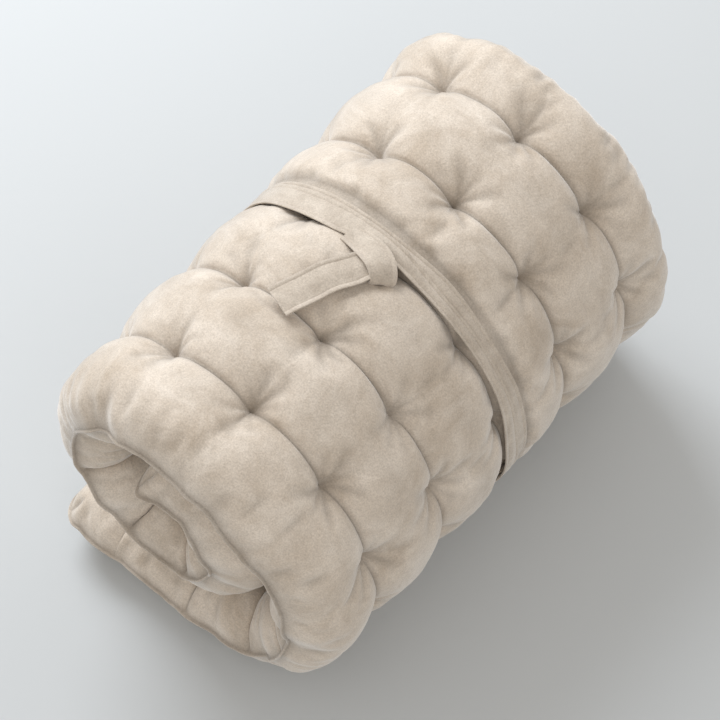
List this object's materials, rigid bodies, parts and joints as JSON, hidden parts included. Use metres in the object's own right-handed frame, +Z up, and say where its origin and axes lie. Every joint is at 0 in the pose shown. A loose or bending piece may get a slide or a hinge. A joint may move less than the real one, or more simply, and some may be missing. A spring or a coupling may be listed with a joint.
{
  "type": "rolled futon mattress",
  "caption": "Tufted velvet futon mattress, rolled into an open spiral on its own end flap and tied round the middle with a fabric strap. It unrolls flat.",
  "frame": {"origin": "on the floor, under the middle of the rolled mattress", "axes": "+Y along the roll, away from the end that shows the open spiral best; +Z up; +X the way the mattress unrolls"},
  "size_m": [0.424, 0.7, 0.4686],
  "materials": {
    "velvet": "greige cotton velvet, soft short pile",
    "strap_velvet": "the same velvet, doubled, hemmed and topstitched",
    "batting": "loose matt fibre batting",
    "thread": "waxed tufting twine"
  },
  "bodies": {
    "flap": {"cover_01": "velvet", "batting_01": "batting", "tuft_row_01": "thread", "cover_02": "velvet", "batting_02": "batting", "tuft_row_02": "thread", "strap_under_flap": "strap_velvet"},
    "panel_03": {"cover_03": "velvet", "batting_03": "batting", "tuft_row_03": "thread", "strap_03": "strap_velvet"},
    "panel_04": {"cover_04": "velvet", "batting_04": "batting", "tuft_row_04": "thread", "strap_04": "strap_velvet"},
    "panel_05": {"cover_05": "velvet", "batting_05": "batting", "tuft_row_05": "thread", "strap_05": "strap_velvet"},
    "panel_06": {"cover_06": "velvet", "batting_06": "batting", "tuft_row_06": "thread", "strap_06": "strap_velvet"},
    "panel_07": {"cover_07": "velvet", "batting_07": "batting", "tuft_row_07": "thread", "strap_07": "strap_velvet"},
    "panel_08": {"cover_08": "velvet", "batting_08": "batting", "tuft_row_08": "thread", "strap_08": "strap_velvet", "strap_knot": "strap_velvet"},
    "panel_09": {"cover_09": "velvet", "batting_09": "batting", "tuft_row_09": "thread", "strap_09": "strap_velvet"},
    "panel_10": {"cover_10": "velvet", "batting_10": "batting", "tuft_row_10": "thread", "strap_10": "strap_velvet"},
    "panel_11": {"cover_11": "velvet", "batting_11": "batting", "tuft_row_11": "thread"},
    "panel_12": {"cover_12": "velvet", "batting_12": "batting", "tuft_row_12": "thread"},
    "panel_13": {"cover_13": "velvet", "batting_13": "batting", "tuft_row_13": "thread"},
    "panel_14": {"cover_14": "velvet", "batting_14": "batting", "tuft_row_14": "thread"},
    "panel_15": {"cover_15": "velvet", "batting_15": "batting"},
    "strap_end": {"strap_free_end": "strap_velvet"}
  },
  "joints": [
    {"name": "fold_02", "type": "hinge", "parent": "panel_03", "child": "flap", "pos_m": [0.00725, 0, 0.012], "axis": [0, -1, 0], "range_deg": [0, 14.12]},
    {"name": "fold_03", "type": "hinge", "parent": "panel_04", "child": "panel_03", "pos_m": [0.12752, 0, 0.0422], "axis": [0, -1, 0], "range_deg": [0, 40.85]},
    {"name": "fold_04", "type": "hinge", "parent": "panel_05", "child": "panel_04", "pos_m": [0.19877, 0, 0.14368], "axis": [0, -1, 0], "range_deg": [0, 35.21]},
    {"name": "fold_05", "type": "hinge", "parent": "panel_06", "child": "panel_05", "pos_m": [0.19852, 0, 0.26768], "axis": [0, -1, 0], "range_deg": [0, 28.63]},
    {"name": "fold_06", "type": "hinge", "parent": "panel_07", "child": "panel_06", "pos_m": [0.13892, 0, 0.37642], "axis": [0, -1, 0], "range_deg": [0, 31.75]},
    {"name": "fold_07", "type": "hinge", "parent": "panel_08", "child": "panel_07", "pos_m": [0.03105, 0, 0.43757], "axis": [0, -1, 0], "range_deg": [0, 32.3]},
    {"name": "unroll", "type": "hinge", "parent": "panel_08", "child": "panel_09", "pos_m": [-0.09281, 0, 0.43165], "axis": [0, 1, 0], "range_deg": [0, 42.07]},
    {"name": "fold_09", "type": "hinge", "parent": "panel_09", "child": "panel_10", "pos_m": [-0.1808, 0, 0.34427], "axis": [0, 1, 0], "range_deg": [0, 44.74]},
    {"name": "fold_10", "type": "hinge", "parent": "panel_10", "child": "panel_11", "pos_m": [-0.18185, 0, 0.22028], "axis": [0, 1, 0], "range_deg": [0, 44.74]},
    {"name": "fold_11", "type": "hinge", "parent": "panel_11", "child": "panel_12", "pos_m": [-0.09536, 0, 0.13142], "axis": [0, 1, 0], "range_deg": [0, 43.12]},
    {"name": "fold_12", "type": "hinge", "parent": "panel_12", "child": "panel_13", "pos_m": [0.02851, 0, 0.12565], "axis": [0, 1, 0], "range_deg": [0, 58.49]},
    {"name": "fold_13", "type": "hinge", "parent": "panel_13", "child": "panel_14", "pos_m": [0.09821, 0, 0.2282], "axis": [0, 1, 0], "range_deg": [0, 68.64]},
    {"name": "fold_14", "type": "hinge", "parent": "panel_14", "child": "panel_15", "pos_m": [0.02813, 0, 0.3305], "axis": [0, 1, 0], "range_deg": [0, 57.18]},
    {"name": "strap_end_lift", "type": "hinge", "parent": "panel_08", "child": "strap_end", "pos_m": [0.00275, -0.01644, 0.45383], "axis": [-0.9386, 0.342, -0.0448], "range_deg": [0, 85]}
  ],
  "couplings": [
    {"joint": "fold_02", "follows": "unroll", "ratio": 0.33511},
    {"joint": "fold_03", "follows": "unroll", "ratio": 0.97052},
    {"joint": "fold_04", "follows": "unroll", "ratio": 0.83657},
    {"joint": "fold_05", "follows": "unroll", "ratio": 0.68008},
    {"joint": "fold_06", "follows": "unroll", "ratio": 0.75427},
    {"joint": "fold_07", "follows": "unroll", "ratio": 0.7673},
    {"joint": "fold_09", "follows": "unroll", "ratio": 1.0629},
    {"joint": "fold_10", "follows": "unroll", "ratio": 1.0629},
    {"joint": "fold_11", "follows": "unroll", "ratio": 1.0246},
    {"joint": "fold_12", "follows": "unroll", "ratio": 1.3899},
    {"joint": "fold_13", "follows": "unroll", "ratio": 1.6311},
    {"joint": "fold_14", "follows": "unroll", "ratio": 1.3587}
  ]
}
